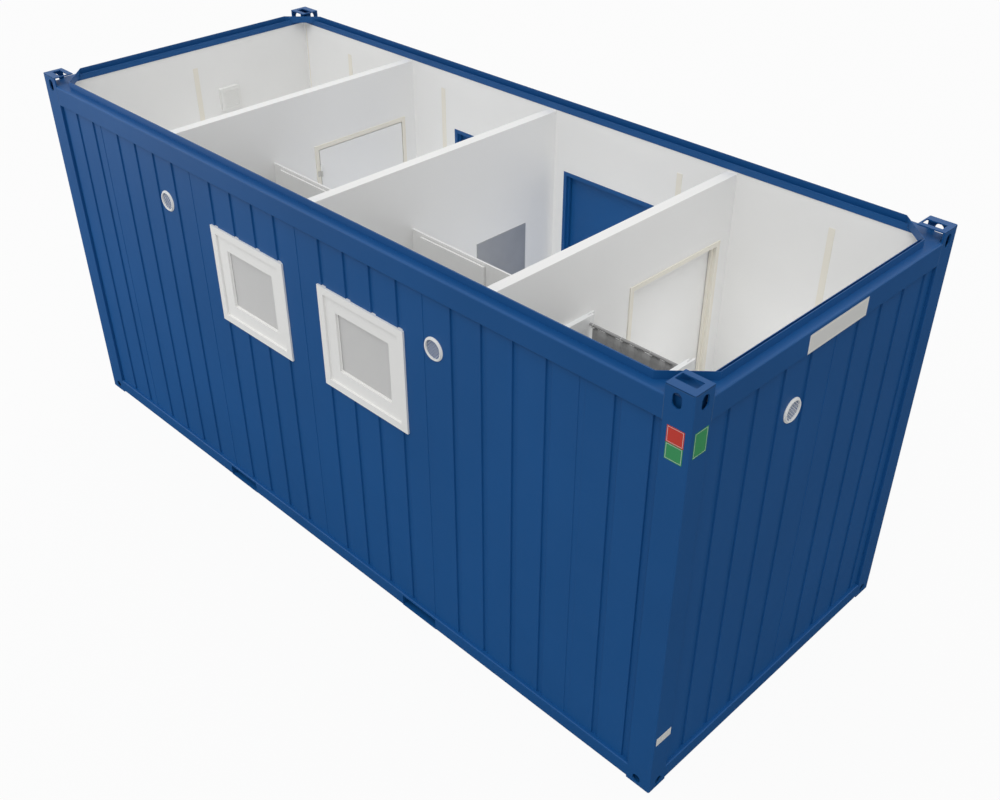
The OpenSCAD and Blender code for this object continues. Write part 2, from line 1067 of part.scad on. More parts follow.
module passage_head() {
    stop_x = passage_leaf_x - leaf_gap;
    low = passage_top - passage_face;
    box([-frame_half, passage_clear_low, low], [frame_half, passage_clear_high, passage_top]);
    box([stop_x - stop_t, passage_clear_low + stop_w, low - stop_w],
        [stop_x, passage_clear_high - stop_w, low]);
}

module passage_heads() {
    color(cream) {
        at_left_passage()
            passage_head();
        at_right_passage()
            passage_head();
    }
}

// Turns a hinge so that its leaf runs along +Y and the door face is at -X of the pin
module at_passage_hinges() {
    for (z = hinge_heights(floor_top, passage_top))
        translate([frame_half + pin_off, passage_clear_low + leaf_gap / 2, z])
            mirror([1, -1, 0])
                children();
}

module passage_leaf() {
    box([passage_leaf_x, passage_clear_low + leaf_gap, floor_top + leaf_gap],
        [frame_half, passage_clear_high - leaf_gap - swing_gap, passage_leaf_high]);
    at_passage_hinges()
        leaf_hinge();
}

module passage_leaf_left() {
    color(white)
        at_left_passage()
            passage_leaf();
}

module passage_leaf_right() {
    color(white)
        at_right_passage()
            passage_leaf();
}

module passage_handle() {
    y = passage_clear_high - leaf_gap - swing_gap - handle_in;
    z = floor_top + handle_z;
    translate([frame_half, y, z])
        rotate(90)
            lever_handle();
    translate([passage_leaf_x, y, z])
        mirror([1, 0, 0])
            rotate(90)
                lever_handle();
}

module passage_handle_left() {
    color(steel)
        at_left_passage()
            passage_handle();
}

module passage_handle_right() {
    color(steel)
        at_right_passage()
            passage_handle();
}

// Toilet cubicle, drawn with x = 0 at the partition face it starts from
cubicle_low = floor_top + cubicle_gap;
cubicle_left_w = face(partition_middle_x, -1) - face(partition_left_x, 1);
cubicle_right_w = face(partition_right_x, -1) - face(partition_middle_x, 1);
cubicle_door_end = cubicle_door_in + cubicle_door_w;
cubicle_door_y = cubicle_y - cubicle_door_gap;
cubicle_pin_off = cubicle_barrel_d / 2 + barrel_off;
cubicle_pin = [cubicle_door_in - cubicle_pin_off, cubicle_door_y - cubicle_t / 2];

module at_left_cubicle() {
    translate([face(partition_left_x, 1), 0, 0])
        children();
}

module at_right_cubicle() {
    translate([face(partition_middle_x, 1), 0, 0])
        children();
}

module cubicle_board(from, to, low) {
    box([from, cubicle_y, low], [to, cubicle_y + cubicle_t, cubicle_top]);
}

module cubicle_boards_pair(w) {
    cubicle_board(0, cubicle_door_in + cubicle_lap, cubicle_low);
    cubicle_board(cubicle_door_end - cubicle_lap, w, cubicle_low);
}

module cubicle_boards() {
    color(white) {
        at_left_cubicle()
            cubicle_boards_pair(cubicle_left_w);
        at_right_cubicle()
            cubicle_boards_pair(cubicle_right_w);
    }
}

module cubicle_heads() {
    from = cubicle_door_in + cubicle_lap;
    to = cubicle_door_end - cubicle_lap;
    color(white) {
        at_left_cubicle()
            cubicle_board(from, to, cubicle_top - cubicle_head_h);
        at_right_cubicle()
            cubicle_board(from, to, cubicle_top - cubicle_head_h);
    }
}

module at_cubicle_hinges() {
    for (z = [cubicle_low + hinge_in, cubicle_top - cubicle_door_drop - hinge_in])
        translate([cubicle_pin[0], cubicle_pin[1], z])
            children();
}

// Lower half on the fixed board, with a block that reaches back to it
module cubicle_fixed_hinge() {
    reach = cubicle_y - cubicle_pin[1];
    translate([0, 0, -barrel_h]) {
        cylinder(d = cubicle_barrel_d, h = barrel_h);
        cylinder(d = cubicle_pin_d, h = 2 * barrel_h - pin_end);
        translate([-cubicle_barrel_d / 2, 0, 0])
            cube([cubicle_barrel_d, reach, barrel_h]);
    }
}

// Hinge halves on the door frames and on the cubicle boards
module fixed_hinges() {
    color(steel) {
        at_entrances()
            at_entrance_hinges()
                fixed_hinge();
        at_left_passage()
            at_passage_hinges()
                fixed_hinge();
        at_right_passage()
            at_passage_hinges()
                fixed_hinge();
        at_left_cubicle()
            at_cubicle_hinges()
                cubicle_fixed_hinge();
        at_right_cubicle()
            at_cubicle_hinges()
                cubicle_fixed_hinge();
    }
}

module cubicle_leaf() {
    difference() {
        union() {
            box([cubicle_door_in, cubicle_door_y - cubicle_t, cubicle_low],
                [cubicle_door_end, cubicle_door_y, cubicle_top - cubicle_door_drop]);
            at_cubicle_hinges()
                translate([0, 0, pin_gap]) {
                    cylinder(d = cubicle_barrel_d, h = barrel_h);
                    translate([0, -cubicle_t / 2, 0])
                        cube([cubicle_pin_off + slight, cubicle_t, barrel_h]);
                }
        }
        at_cubicle_hinges()
            translate([0, 0, pin_gap - slight])
                cylinder(d = cubicle_pin_d + 2 * pin_gap, h = barrel_h);
    }
}

module cubicle_leaf_left() {
    color(white)
        at_left_cubicle()
            cubicle_leaf();
}

module cubicle_leaf_right() {
    color(white)
        at_right_cubicle()
            cubicle_leaf();
}

module cubicle_knob() {
    translate([cubicle_door_end - handle_in, cubicle_door_y - cubicle_t, floor_top + handle_z])
        rotate([90, 0, 0])
            cylinder(d = knob_d, h = knob_t);
}

module cubicle_knob_left() {
    color(steel)
        at_left_cubicle()
            cubicle_knob();
}

module cubicle_knob_right() {
    color(steel)
        at_right_cubicle()
            cubicle_knob();
}

// Shower beside the right partition
shower_x = face(partition_right_x, 1);
shower_in_low = shower_x + shower_t;
shower_in_high = shower_in_low + shower_w;
curtain_rail_y = shower_y - curtain_rail_in;
curtain_rail_z = shower_top - curtain_rail_drop;

// Plan of a shower wall: outer skin at x = 0, inner skin set back, a notch between
module shower_plan() {
    depth = in_y + shower_y;
    difference() {
        union() {
            square([shower_skin, depth]);
            square([shower_t, depth - shower_step]);
        }
        translate([shower_skin, depth - 2 * shower_step])
            square([shower_notch, 2 * shower_step]);
    }
}

module shower_walls() {
    color(white) {
        translate([shower_x, -in_y, floor_top])
            linear_extrude(shower_top - floor_top)
                shower_plan();
        translate([shower_in_high + shower_t, -in_y, floor_top])
            mirror([1, 0, 0])
                linear_extrude(shower_top - floor_top)
                    shower_plan();
    }
}

module curtain_rail() {
    color(steel)
        translate([shower_in_low, curtain_rail_y, curtain_rail_z])
            rotate([0, 90, 0])
                cylinder(d = curtain_rail_d, h = shower_w);
}

module curtain() {
    top = curtain_rail_z - curtain_rail_d / 2 - curtain_clear;
    color([0.5, 0.5, 0.5])
        box([shower_in_low + curtain_side, curtain_rail_y - curtain_t / 2, floor_top + curtain_gap],
            [shower_in_high - curtain_side, curtain_rail_y + curtain_t / 2, top]);
}

module mirror_glass() {
    x = face(partition_middle_x, 1);
    color(steel)
        box([x, mirror_y - mirror_w / 2, mirror_top - mirror_h],
            [x + mirror_t, mirror_y + mirror_w / 2, mirror_top]);
}

// Square housing with rounded corners on the inside of each end wall, behind its vent
module fan_housings() {
    color(white)
        both_ends()
            translate([in_x - fan_t, vent_y - fan_w / 2, vent_z - fan_w / 2])
                rotate([90, 0, 90])
                    linear_extrude(fan_t)
                        round_square([fan_w, fan_w], fan_r);
}

module window_casings() {
    opening = [window_w - 2 * casing_w, window_h - 2 * casing_w];
    color(white)
        window_places()
            translate([0, 0, casing_in])
                linear_extrude(clad_in - casing_in)
                    difference() {
                        square([window_w, window_h], center = true);
                        square(opening, center = true);
                    }
}

function pane_size() = [window_w - 2 * casing_w - 2 * sash_w, window_h - 2 * casing_w - 2 * sash_w];

module window_sashes() {
    color(white)
        window_places()
            translate([0, 0, clad_in])
                linear_extrude(sash_d)
                    difference() {
                        square(sash_size(), center = true);
                        square(pane_size(), center = true);
                    }
}

module window_panes() {
    color([0.75, 0.77, 0.78])
        window_places()
            translate([0, 0, clad_in + pane_in])
                linear_extrude(pane_t)
                    square(pane_size(), center = true);
}

// Round vent cover, back face at z = 0: a wide rim with a raised ring on it
module vent_cover() {
    hole = vent_d - 2 * vent_ring;
    rim = vent_d - vent_ring;
    linear_extrude(vent_rim_t)
        difference() {
            circle(d = vent_d);
            circle(d = hole);
        }
    linear_extrude(vent_t)
        difference() {
            circle(d = rim);
            circle(d = hole);
        }
}

module vent_covers() {
    color(white) {
        for (x = [vent_left_x, vent_right_x])
            translate([x, -half_w + clad_in, vent_z])
                rotate([90, 0, 0])
                    vent_cover();
        both_ends()
            translate([half_l - clad_in, vent_y, vent_z])
                rotate([0, 90, 0])
                    vent_cover();
    }
}

module long_strip(x, side) {
    y = side * (in_y - strip_t / 2);
    translate([x - strip_w / 2, y - strip_t / 2, floor_top])
        cube([strip_w, strip_t, strip_top - floor_top]);
}

// Cover strips over the joints of the lining boards
module joint_strips() {
    color(cream) {
        for (k = [-2, -1, 1, 2])
            long_strip(k * sheet_w, 1);
        for (k = [-2, -1, 1])
            long_strip(k * sheet_w, -1);
        both_ends()
            translate([in_x - strip_t, -strip_w / 2, floor_top])
                cube([strip_t, strip_w, strip_top - floor_top]);
    }
}

lower_castings();
upper_castings();
casting_tops();
corner_posts();
base_long_rails();
base_end_rails();
fork_plates();
fork_sides();
floor_bearers();
floor_deck();
roof_long_rails();
roof_end_rails();
roof_upstands();
roof_corners();
front_cladding();
front_lining();
rear_cladding();
rear_cladding_headers();
rear_lining();
rear_lining_headers();
end_claddings();
end_linings();
partition_panels();
partition_headers();
entrance_jambs();
entrance_rails();
passage_jambs();
passage_heads();
fixed_hinges();
entrance_leaf_left();
entrance_leaf_right();
entrance_handle_left();
entrance_handle_right();
passage_leaf_left();
passage_leaf_right();
passage_handle_left();
passage_handle_right();
cubicle_boards();
cubicle_heads();
cubicle_leaf_left();
cubicle_leaf_right();
cubicle_knob_left();
cubicle_knob_right();
shower_walls();
curtain_rail();
curtain();
mirror_glass();
fan_housings();
window_casings();
window_sashes();
window_panes();
vent_covers();
joint_strips();
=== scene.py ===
import json
import math

import bpy
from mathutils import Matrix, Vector


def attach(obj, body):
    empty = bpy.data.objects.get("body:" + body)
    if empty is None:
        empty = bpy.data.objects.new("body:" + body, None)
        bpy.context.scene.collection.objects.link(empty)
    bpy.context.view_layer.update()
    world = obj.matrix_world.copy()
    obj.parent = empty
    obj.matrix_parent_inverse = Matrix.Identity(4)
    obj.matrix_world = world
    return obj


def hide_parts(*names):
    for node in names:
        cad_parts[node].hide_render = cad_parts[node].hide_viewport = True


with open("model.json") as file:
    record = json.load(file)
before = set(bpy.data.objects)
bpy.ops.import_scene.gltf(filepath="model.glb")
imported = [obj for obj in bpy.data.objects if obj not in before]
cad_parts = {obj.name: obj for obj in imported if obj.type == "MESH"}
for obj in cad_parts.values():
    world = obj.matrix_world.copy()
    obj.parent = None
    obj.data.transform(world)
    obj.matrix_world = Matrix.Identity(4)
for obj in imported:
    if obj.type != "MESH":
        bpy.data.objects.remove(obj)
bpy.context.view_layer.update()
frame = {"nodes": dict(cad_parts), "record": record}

# Lengths below are in millimetres, as on the drawing, and MM turns them into metres
MM = 0.001
HALF_L = 3027.5
HALF_W = 1217.5
CLAD_X = 3005.5
CLAD_Y = 1195.5
LINING_X = 2930
LINING_Y = 1120
FLOOR_TOP = 160
WALL_TOP = 2731
POST_X = 2857.5
POST_Y = 1067.5
RAIL_LOW = 2592
VENT_Z = 2255
VENT_Y = -285
VENTS_X = (-1494, 1257)
WINDOW_Z = 1899
WINDOWS_X = (-556, 604)
HANDLE_Z = 1210


# Modelling by hand

def start_clean():
    if bpy.context.mode != "OBJECT":
        bpy.ops.object.mode_set(mode="OBJECT")
    bpy.ops.object.select_all(action="DESELECT")


def take(piece):
    start_clean()
    bpy.context.view_layer.objects.active = piece
    piece.select_set(True)


def settle(piece, name):
    """Puts a new object's place, turn and scale into its mesh."""
    take(piece)
    bpy.ops.object.transform_apply(location=True, rotation=True, scale=True)
    piece.name = name
    piece.data.name = name
    return piece


def block(name, low, high):
    start_clean()
    bpy.ops.mesh.primitive_cube_add(size=1, location=(Vector(low) + Vector(high)) / 2 * MM)
    piece = bpy.context.object
    piece.scale = [abs(b - a) * MM for a, b in zip(low, high)]
    return settle(piece, name)


def rod(name, start, end, radius, sides):
    start_clean()
    a = Vector(start) * MM
    b = Vector(end) * MM
    bpy.ops.mesh.primitive_cylinder_add(
        vertices=sides, radius=radius * MM, depth=(b - a).length, location=(a + b) / 2)
    piece = bpy.context.object
    piece.rotation_euler = (b - a).to_track_quat("Z", "Y").to_euler()
    return settle(piece, name)


def pick_faces(piece, test):
    """Opens a piece for editing with the faces selected whose normal passes the test."""
    take(piece)
    bpy.ops.object.mode_set(mode="EDIT")
    bpy.ops.mesh.select_mode(type="FACE")
    bpy.ops.mesh.select_all(action="DESELECT")
    bpy.ops.object.mode_set(mode="OBJECT")
    for face in piece.data.polygons:
        face.select = test(face.normal)
    bpy.ops.object.mode_set(mode="EDIT")


def done(piece):
    bpy.ops.object.mode_set(mode="OBJECT")
    return piece


def apply_tools(piece):
    take(piece)
    for tool in list(piece.modifiers):
        bpy.ops.object.modifier_apply(modifier=tool.name)


def ease(piece, width, steps=2):
    """Rounds the sharp edges of a piece."""
    tool = piece.modifiers.new("eased edges", "BEVEL")
    tool.width = width * MM
    tool.segments = steps
    tool.limit_method = "ANGLE"
    apply_tools(piece)
    return piece


def copy_of(piece, name, place, turn):
    """A copy with its own mesh, turned about the upright axis and then moved."""
    other = piece.copy()
    other.data = piece.data.copy()
    bpy.context.collection.objects.link(other)
    other.rotation_euler = (0, 0, math.radians(turn))
    other.location = Vector(place) * MM
    return settle(other, name)


def join(name, pieces):
    take(pieces[0])
    for piece in pieces:
        piece.select_set(True)
    bpy.ops.object.join()
    pieces[0].name = name
    pieces[0].data.name = name
    return pieces[0]


def surround(name, low, high, width):
    """An upright frame across the y axis, cut through from front to back."""
    piece = block(name, low, high)
    pick_faces(piece, lambda normal: abs(normal.y) > 0.9)
    bpy.ops.mesh.inset(thickness=width * MM)
    bpy.ops.mesh.bridge_edge_loops()
    return done(piece)


def dress(piece, finish, body="cabin"):
    piece.data.materials.clear()
    piece.data.materials.append(finish)
    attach(piece, body)
    return piece


# Finishes

def colour_of(red, green, blue):
    """A colour given as it looks on a screen, from 0 to 255."""
    linear = []
    for part in (red, green, blue):
        share = part / 255
        linear.append(share / 12.92 if share <= 0.04045 else ((share + 0.055) / 1.055) ** 2.4)
    return (*linear, 1.0)


def shade(colour, factor):
    return (*[min(1.0, part * factor) for part in colour[:3]], 1.0)


class Finish:
    """A material and its nodes, with a few ways to join them."""

    def __init__(self, name):
        self.material = bpy.data.materials.new(name)
        self.material.use_nodes = True
        self.tree = self.material.node_tree
        self.shader = self.tree.nodes["Principled BSDF"]
        self.place = self.tree.nodes.new("ShaderNodeTexCoord")

    def add(self, kind, **settings):
        node = self.tree.nodes.new(kind)
        for key, value in settings.items():
            setattr(node, key, value)
        return node

    def join(self, source, target):
        self.tree.links.new(source, target)

    def stretched(self, scale, space="Object"):
        mapping = self.add("ShaderNodeMapping")
        mapping.inputs["Scale"].default_value = scale
        self.join(self.place.outputs[space], mapping.inputs["Vector"])
        return mapping.outputs["Vector"]

    def noise(self, scale, detail=3.0, where=None):
        node = self.add("ShaderNodeTexNoise")
        node.inputs["Scale"].default_value = scale
        node.inputs["Detail"].default_value = detail
        self.join(where or self.place.outputs["Object"], node.inputs["Vector"])
        return node.outputs["Fac"]

    def ramp(self, value, stops):
        node = self.add("ShaderNodeValToRGB")
        while len(node.color_ramp.elements) < len(stops):
            node.color_ramp.elements.new(0.5)
        for element, (at, colour) in zip(node.color_ramp.elements, stops):
            element.position = at
            element.color = colour
        self.join(value, node.inputs["Fac"])
        return node.outputs["Color"]

    def spread(self, value, low, high):
        node = self.add("ShaderNodeMapRange")
        node.inputs["To Min"].default_value = low
        node.inputs["To Max"].default_value = high
        self.join(value, node.inputs["Value"])
        return node.outputs["Result"]

    def colour(self, value):
        self.join(value, self.shader.inputs["Base Color"])

    def rough(self, value, low, high):
        self.join(self.spread(value, low, high), self.shader.inputs["Roughness"])

    def bump(self, value, strength, depth):
        node = self.add("ShaderNodeBump")
        node.inputs["Strength"].default_value = strength
        node.inputs["Distance"].default_value = depth * MM
        self.join(value, node.inputs["Height"])
        self.join(node.outputs["Normal"], self.shader.inputs["Normal"])

    def set(self, **sockets):
        for key, value in sockets.items():
            self.shader.inputs[key.replace("_", " ")].default_value = value


def coated(name, colour, rough, drift=0.05, peel=420.0, depth=0.12, specular=0.3):
    """A sprayed or laminated surface: slow drift of tone, uneven gloss and a fine skin."""
    finish = Finish(name)
    slow = finish.noise(0.9, 2.0)
    finish.colour(finish.ramp(slow, [(0.3, shade(colour, 1 - drift)), (0.7, shade(colour, 1 + drift))]))
    finish.rough(finish.noise(7.0, 4.0), rough - 0.05, rough + 0.07)
    finish.bump(finish.noise(peel, 2.0), 0.25, depth)
    finish.set(Specular_IOR_Level=specular)
    return finish.material


def brushed(name, colour, rough):
    """Metal with fine strokes along its length."""
    finish = Finish(name)
    strokes = finish.noise(1.0, 3.0, finish.stretched((900.0, 900.0, 25.0)))
    finish.colour(finish.ramp(strokes, [(0.3, shade(colour, 0.9)), (0.7, shade(colour, 1.06))]))
    finish.rough(strokes, rough - 0.08, rough + 0.1)
    finish.bump(strokes, 0.2, 0.05)
    finish.set(Metallic=1.0)
    return finish.material


def speckled_vinyl():
    """Safety floor: small pale and dark chips in a grey sheet."""
    finish = Finish("speckled vinyl")
    chips = finish.noise(260.0, 1.0)
    finish.colour(finish.ramp(chips, [
        (0.0, colour_of(150, 152, 154)), (0.42, colour_of(176, 178, 180)),
        (0.58, colour_of(184, 186, 187)), (1.0, colour_of(214, 215, 215))]))
    finish.rough(finish.noise(12.0, 4.0), 0.5, 0.68)
    finish.bump(chips, 0.3, 0.15)
    return finish.material


def frosted_pane():
    """Etched glass that lets light through but no picture."""
    finish = Finish("frosted pane")
    frost = finish.noise(700.0, 3.0)
    finish.colour(finish.ramp(frost, [(0.3, colour_of(219, 219, 218)), (0.7, colour_of(228, 228, 227))]))
    finish.rough(frost, 0.45, 0.6)
    finish.bump(frost, 0.3, 0.1)
    finish.set(Transmission_Weight=0.25, IOR=1.45)
    return finish.material


def silvered_glass():
    finish = Finish("silvered glass")
    haze = finish.noise(5.0, 3.0)
    finish.colour(finish.ramp(haze, [(0.3, colour_of(176, 177, 178)), (0.7, colour_of(184, 185, 186))]))
    finish.rough(haze, 0.28, 0.36)
    finish.set(Metallic=0.35)
    return finish.material


def woven_cloth():
    """Plain weave that follows the cloth's own width and length."""
    finish = Finish("woven polyester")
    across = finish.add("ShaderNodeTexWave", bands_direction="X")
    along = finish.add("ShaderNodeTexWave", bands_direction="Y")
    for thread in (across, along):
        thread.inputs["Scale"].default_value = 1.0
        thread.inputs["Distortion"].default_value = 0.4
        finish.join(finish.stretched((190.0, 420.0, 1.0), "UV"), thread.inputs["Vector"])
    weave = finish.add("ShaderNodeMath", operation="MULTIPLY")
    finish.join(across.outputs["Fac"], weave.inputs[0])
    finish.join(along.outputs["Fac"], weave.inputs[1])
    finish.colour(finish.ramp(weave.outputs["Value"], [
        (0.0, colour_of(142, 142, 142)), (1.0, colour_of(164, 164, 164))]))
    finish.rough(finish.noise(30.0), 0.75, 0.9)
    finish.bump(weave.outputs["Value"], 0.4, 0.15)
    finish.set(Sheen_Weight=0.15, Specular_IOR_Level=0.2)
    return finish.material


BLUE = colour_of(14, 80, 140)
PALE_BLUE = colour_of(62, 98, 142)
DARK_BLUE = colour_of(9, 38, 76)
WHITE = colour_of(241, 241, 240)
CREAM = colour_of(238, 234, 223)

blue_cladding = coated("blue sheet paint", BLUE, 0.5, drift=0.04, specular=0.35)
blue_frame = coated(
    "blue frame paint", shade(BLUE, 0.97), 0.48, drift=0.05, peel=300.0, depth=0.2, specular=0.35)
white_board = coated("white lining board", WHITE, 0.45, drift=0.02, specular=0.25)
cream_paint = coated("cream paint", CREAM, 0.42, drift=0.03)
white_moulding = coated(
    "white moulding", colour_of(236, 236, 234), 0.34, drift=0.015, peel=160.0, depth=0.06)
rubber = coated("grey rubber", colour_of(186, 186, 184), 0.62, drift=0.06, peel=650.0, depth=0.2)
# Pale blue for the weld beads and rail edge lines: a painted highlight along the frame's edges.
highlight_bead_paint = coated("pale bead painted highlight", PALE_BLUE, 0.5, drift=0.08, peel=150.0, depth=0.3)
# Dark blue strips: painted shade under the casting top plates.
shadow_gap = coated("plate joint painted shade", DARK_BLUE, 0.6, drift=0.1, specular=0.1)
rail_grey = coated("grey curtain rail", colour_of(152, 152, 152), 0.4, drift=0.03)
stainless = brushed("brushed stainless", colour_of(186, 188, 190), 0.3)
hinge_caps = coated("pale hinge caps", colour_of(204, 203, 198), 0.4, drift=0.03)

finishes = {
    "blue_paint": blue_cladding,
    "blue_steel": blue_frame,
    "white_lining": white_board,
    "white_partition": coated("white partition board", WHITE, 0.42, drift=0.02, specular=0.25),
    "cream_trim": cream_paint,
    "white_leaf": coated("white door skin", WHITE, 0.36, drift=0.02),
    "floor_cover": speckled_vinyl(),
    "cubicle_board": coated("cubicle laminate", colour_of(237, 237, 236), 0.38, drift=0.02, peel=900.0),
    "shower_panel": coated(
        "shower panel", colour_of(237, 238, 238), 0.26, drift=0.015, peel=90.0, depth=0.05),
    "white_plastic": white_moulding,
    "frosted_glass": frosted_pane(),
    "mirror": silvered_glass(),
    "steel": stainless,
    "hinge_steel": hinge_caps,
    "curtain_cloth": woven_cloth(),
}

for row in frame["record"]["subparts"]:
    node = frame["nodes"][row["node"]]
    node.data.materials.clear()
    node.data.materials.append(finishes[row["material_slot"]])
frame["nodes"]["curtain_rail"].data.materials[0] = rail_grey


# Insect mesh in the vent rings and on the fan housings

def wire_mesh(name, pitch, wire, reach):
    """Diagonal wires lying flat in two crossing layers; reach gives half a wire's length at an offset."""
    wires = []
    lines = 0
    while (lines + 1) * pitch < reach(0):
        lines += 1
    for layer in (-1, 1):
        for line in range(-lines, lines + 1):
            off = line * pitch
            half = reach(off) - wire / 2
            if half < pitch / 3:
                continue
            along = Vector((math.sqrt(0.5), layer * math.sqrt(0.5), 0))
            middle = Vector((-along.y, along.x, 0)) * off + Vector((0, 0, layer * wire * 0.3))
            wires.append(rod("wire", middle - along * half, middle + along * half, wire / 2, 8))
    return join(name, wires)


def stand_up(piece):
    """Turns a flat piece so that what faced up faces along -y."""
    take(piece)
    piece.rotation_euler = (math.radians(90), 0, 0)
    bpy.ops.object.transform_apply(rotation=True)


def vent_meshes():
    """Mesh inside each of the four vent rings, just off the cladding."""
    pitch = 15.0
    wire = 2.1
    radius = 60.8
    depth = 2.1
    mesh = wire_mesh("vent_mesh", pitch, wire, lambda off: math.sqrt(max(0, radius ** 2 - off ** 2)))
    stand_up(mesh)
    left_x, right_x = VENTS_X
    places = {
        "vent_mesh_front_left": ((left_x, -CLAD_Y - depth, VENT_Z), 0),
        "vent_mesh_front_right": ((right_x, -CLAD_Y - depth, VENT_Z), 0),
        "vent_mesh_right_end": ((CLAD_X + depth, VENT_Y, VENT_Z), 90),
        "vent_mesh_left_end": ((-CLAD_X - depth, -VENT_Y, VENT_Z), -90),
    }
    for name, (place, turn) in places.items():
        dress(copy_of(mesh, name, place, turn), white_moulding)
    bpy.data.objects.remove(mesh)


def fan_grilles():
    """Mesh square in a raised rim on the face of each fan housing."""
    half = 70
    rim_half = 73
    rim_w = 4
    pitch = 12.0
    wire = 2.4
    face_x = 2897.5
    mesh = wire_mesh("fan_mesh", pitch, wire, lambda off: half * math.sqrt(2) - abs(off))
    stand_up(mesh)
    rim = surround("fan_rim", (-rim_half, -2, -rim_half), (rim_half, 1, rim_half), rim_w)
    ease(rim, 0.8)
    grille = join("fan_grille", [rim, mesh])
    for name, place, turn in (("fan_grille_right", (face_x, VENT_Y, VENT_Z), -90),
                              ("fan_grille_left", (-face_x, -VENT_Y, VENT_Z), 90)):
        dress(copy_of(grille, name, place, turn), white_moulding)
    bpy.data.objects.remove(grille)


vent_meshes()
fan_grilles()


# Windows: glazing bead, gasket and the plugs that close the grooves behind the casing

def window_trim(number, x):
    half_w = 250
    half_h = 213.5
    bead_face = -1184
    bead_w = 9
    gasket_face = -1179.5
    gasket_w = 3
    gasket_in = 8
    pane_face = -1177.6
    bead = surround(f"glazing_bead_{number}", (x - half_w, bead_face, WINDOW_Z - half_h),
                    (x + half_w, pane_face, WINDOW_Z + half_h), bead_w)
    ease(bead, 2.0, 3)
    dress(bead, white_moulding)
    half_w -= gasket_in
    half_h -= gasket_in
    gasket = surround(f"pane_gasket_{number}", (x - half_w, gasket_face, WINDOW_Z - half_h),
                      (x + half_w, pane_face, WINDOW_Z + half_h), gasket_w)
    ease(gasket, 0.6)
    dress(gasket, rubber)


def groove_plugs():
    casing_h = 363.5
    plug_half = 20.5
    plug_h = 7
    front = -CLAD_Y - 0.5
    back = -CLAD_Y + 10.5
    grooves = (-901.75, -665.25, -428.75, -192.25, 258.25, 494.75, 731.25, 967.75)
    plugs = []
    for x in grooves:
        for z in (WINDOW_Z + casing_h - plug_h, WINDOW_Z - casing_h):
            plug = block("plug", (x - plug_half, front, z), (x + plug_half, back, z + plug_h))
            ease(plug, 1.0)
            plugs.append(plug)
    dress(join("groove_plugs", plugs), white_moulding)


for number, x in enumerate(WINDOWS_X, 1):
    window_trim(number, x)
groove_plugs()


# Bare plates on the near post and on the right roof rail

def blank_plate(name, low, high, outward, field, border, margin=5, line=2):
    """A thin plate with a plain field and a printed border line."""
    piece = block(name, low, high)
    ease(piece, 0.25, 1)
    piece.data.materials.append(field)
    piece.data.materials.append(border)
    facing = Vector(outward)
    pick_faces(piece, lambda normal: normal.dot(facing) > 0.99)
    bpy.ops.mesh.inset(thickness=margin * MM)
    piece.active_material_index = 1
    bpy.ops.object.material_slot_assign()
    bpy.ops.mesh.inset(thickness=line * MM)
    piece.active_material_index = 0
    bpy.ops.object.material_slot_assign()
    done(piece)
    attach(piece, "cabin")


def blank_plates():
    red = coated("red plate", colour_of(196, 62, 52), 0.4, drift=0.03)
    green = coated("green plate", colour_of(60, 146, 92), 0.4, drift=0.03)
    white = coated("white plate", colour_of(214, 214, 211), 0.4, drift=0.02)
    proud = 0.8
    sunk = 0.2
    low_x = 2890
    high_x = 2993
    away = (0, -1, 0)
    for name, low_z, high_z, field in (("post_plate_upper", 2486, 2582, red),
                                       ("post_plate_lower", 2389, 2485, green)):
        low = (low_x, -HALF_W - proud, low_z)
        high = (high_x, -HALF_W + sunk, high_z)
        blank_plate(name, low, high, away, field, white)
    # The end face's plates: span in y, span in z, field, border, and the border's margin and line
    end_plates = {
        "post_end_plate": ((-1187, -1083), (2430, 2578), green, white, 5, 2),
        "rail_plate": ((-268, 290), (2594, 2708), white, cream_paint, 8, 3),
        "foot_plate": ((-1198, -1067.5), (402, 462), white, cream_paint, 5, 2),
    }
    away = (1, 0, 0)
    for name, (across, upright, field, border, margin, line) in end_plates.items():
        low = (HALF_L - sunk, across[0], upright[0])
        high = (HALF_L + proud, across[1], upright[1])
        blank_plate(name, low, high, away, field, border, margin, line)


blank_plates()


# Curtain on its rail

CURTAIN_LOW_X = 1652
CURTAIN_HIGH_X = 2306
CURTAIN_Y = -297
CURTAIN_TOP = 2190.6
CURTAIN_FOOT = 333
PLEATS = 6
CURTAIN_RAIL_Z = 2200
CLIPS = 4
CLIP_FIRST_X = 1660
CLIP_PITCH = 215


def pleat(share, drop):
    """How far the cloth stands off the rail's line at a share of its width, drop down its length."""
    sway = 0.35 * math.sin(2 * math.pi * 2.3 * share + 0.6) + 0.3 * drop * math.sin(7.1 * share)
    depth = (6.5 + 11 * drop) * (0.88 + 0.12 * math.sin(2 * math.pi * 3.1 * share + 1.0))
    wave = math.sin(2 * math.pi * PLEATS * share + sway) + 0.35 * math.sin(4 * math.pi * PLEATS * share)
    return depth * math.tanh(2.4 * wave)


def hang(name, top, foot, columns, rows, thick):
    """A grid of cloth between two heights, hung in pleats."""
    start_clean()
    bpy.ops.mesh.primitive_grid_add(x_subdivisions=columns, y_subdivisions=rows, size=1)
    piece = settle(bpy.context.object, name)
    for vertex in piece.data.vertices:
        share = vertex.co.x + 0.5
        z = foot + (vertex.co.y + 0.5) * (top - foot)
        drop = (CURTAIN_TOP - z) / (CURTAIN_TOP - CURTAIN_FOOT)
        x = CURTAIN_LOW_X + share * (CURTAIN_HIGH_X - CURTAIN_LOW_X)
        vertex.co = Vector((x, CURTAIN_Y + pleat(share, drop), z)) * MM
    body = piece.modifiers.new("cloth", "SOLIDIFY")
    body.thickness = thick * MM
    body.offset = 0
    apply_tools(piece)
    bpy.ops.object.shade_smooth()
    return piece


